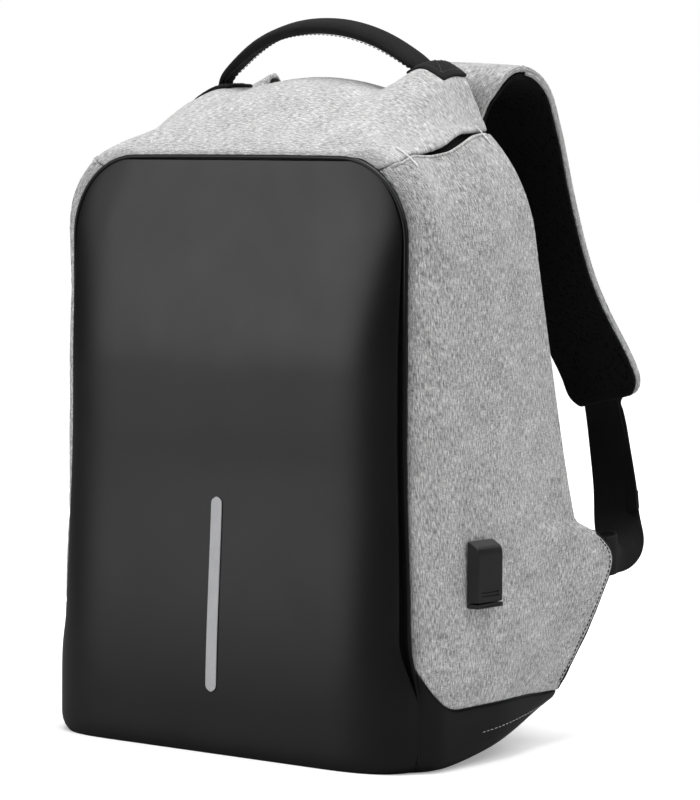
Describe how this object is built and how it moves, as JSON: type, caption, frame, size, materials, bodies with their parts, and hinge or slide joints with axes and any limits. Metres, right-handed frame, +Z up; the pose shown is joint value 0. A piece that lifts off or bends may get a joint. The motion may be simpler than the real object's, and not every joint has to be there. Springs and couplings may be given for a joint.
{
  "type": "backpack",
  "caption": "Hard-fronted commuter backpack that opens from the back panel, with carry handle, shoulder straps, side charging port, laptop sleeve and reflective strip.",
  "frame": {"origin": "on the floor, under the middle of the flat part of the base", "axes": "+X to the wearer's right, -Y out of the black front, +Y towards the wearer's back, +Z up"},
  "size_m": [0.3196, 0.2757, 0.465],
  "materials": {
    "shell": "smooth coated fabric, satin",
    "board": "foamed stiffener sheet",
    "reflector": "reflective tape, fine grain",
    "grey_fabric": "melange plain weave",
    "black_fabric": "matt plain weave",
    "spacer_mesh": "open spacer mesh",
    "lining": "fine lining cloth",
    "webbing": "ribbed webbing",
    "hard_plastic": "moulded, fine satin texture",
    "zip_teeth": "coil zip",
    "dark_metal": "satin black",
    "steel": "bright plated",
    "white_plastic": "moulded"
  },
  "bodies": {
    "bag_body": {"front_shell": "shell", "front_board": "board", "reflective_strip": "reflector", "front_piping": "shell", "side_panel_right": "grey_fabric", "side_panel_left": "grey_fabric", "top_panel": "grey_fabric", "boot_side_right": "shell", "boot_side_left": "shell", "base_panel": "shell", "base_board": "board", "lower_back_panel": "black_fabric", "organiser_sheet": "lining", "mesh_pocket": "spacer_mesh", "power_bank_pouch": "lining", "wing_right": "grey_fabric", "wing_left": "grey_fabric", "zip_tape_body": "black_fabric", "zip_chain_body": "zip_teeth", "handle_foot_right": "webbing", "handle_foot_left": "webbing", "usb_housing": "hard_plastic", "usb_flange": "hard_plastic", "usb_socket_shell": "steel", "usb_tongue": "white_plastic", "usb_contacts": "steel", "usb_grommet": "hard_plastic"},
    "back_door": {"back_panel": "black_fabric", "back_sheet": "board", "shoulder_pad_right": "spacer_mesh", "shoulder_pad_left": "spacer_mesh", "middle_pad_right": "spacer_mesh", "middle_pad_left": "spacer_mesh", "lumbar_pad": "spacer_mesh", "zip_chain_door": "zip_teeth", "zip_tape_door": "black_fabric", "luggage_band": "webbing", "laptop_sleeve": "lining", "strap_root_right": "grey_fabric", "strap_root_left": "grey_fabric"},
    "strap_right": {"strap_pad_right": "grey_fabric", "strap_lining_right": "spacer_mesh", "ladder_lock_right": "hard_plastic", "lock_tie_right": "webbing", "load_webbing_right": "webbing", "webbing_tail_right": "webbing"},
    "strap_left": {"strap_pad_left": "grey_fabric", "strap_lining_left": "spacer_mesh", "ladder_lock_left": "hard_plastic", "lock_tie_left": "webbing", "load_webbing_left": "webbing", "webbing_tail_left": "webbing"},
    "carry_handle": {"handle": "webbing"},
    "usb_cover": {"usb_flap": "hard_plastic"},
    "zip_slider_upper": {"slider_upper": "dark_metal"},
    "zip_slider_lower": {"slider_lower": "dark_metal"},
    "zip_puller_upper": {"puller_upper": "hard_plastic"},
    "zip_puller_lower": {"puller_lower": "hard_plastic"}
  },
  "joints": [
    {"name": "back_door_hinge", "type": "hinge", "parent": "bag_body", "child": "back_door", "pos_m": [0, 0.126, 0.112], "axis": [-1, 0, 0], "range_deg": [0, 65]},
    {"name": "strap_swing_right", "type": "hinge", "parent": "back_door", "child": "strap_right", "pos_m": [0.084, 0.0515, 0.396], "axis": [0.2078, 0.2899, -0.9342], "range_deg": [-6, 12]},
    {"name": "strap_swing_left", "type": "hinge", "parent": "back_door", "child": "strap_left", "pos_m": [-0.088, 0.052, 0.394], "axis": [-0.1967, 0.291, -0.9363], "range_deg": [-4, 8]},
    {"name": "handle_swing", "type": "hinge", "parent": "bag_body", "child": "carry_handle", "pos_m": [0, 0.029, 0.4284], "axis": [1, 0, 0], "range_deg": [-15, 55]},
    {"name": "usb_flap_hinge", "type": "hinge", "parent": "bag_body", "child": "usb_cover", "pos_m": [0.1563, -0.013, 0.1006], "axis": [0, 1, 0], "range_deg": [0, 75]},
    {"name": "zip_slide_upper", "type": "slide", "parent": "back_door", "child": "zip_slider_upper", "axis": [0, -0.2297, 0.9733], "range_m": [0, 0.06]},
    {"name": "zip_slide_lower", "type": "slide", "parent": "back_door", "child": "zip_slider_lower", "axis": [0, 0.2297, -0.9733], "range_m": [0, 0.085]},
    {"name": "zip_puller_swing_upper", "type": "hinge", "parent": "zip_slider_upper", "child": "zip_puller_upper", "pos_m": [0.1268, 0.08082, 0.26684], "axis": [1, 0, 0], "range_deg": [0, 150]},
    {"name": "zip_puller_swing_lower", "type": "hinge", "parent": "zip_slider_lower", "child": "zip_puller_lower", "pos_m": [0.1268, 0.08863, 0.23375], "axis": [1, 0, 0], "range_deg": [0, 150]}
  ]
}
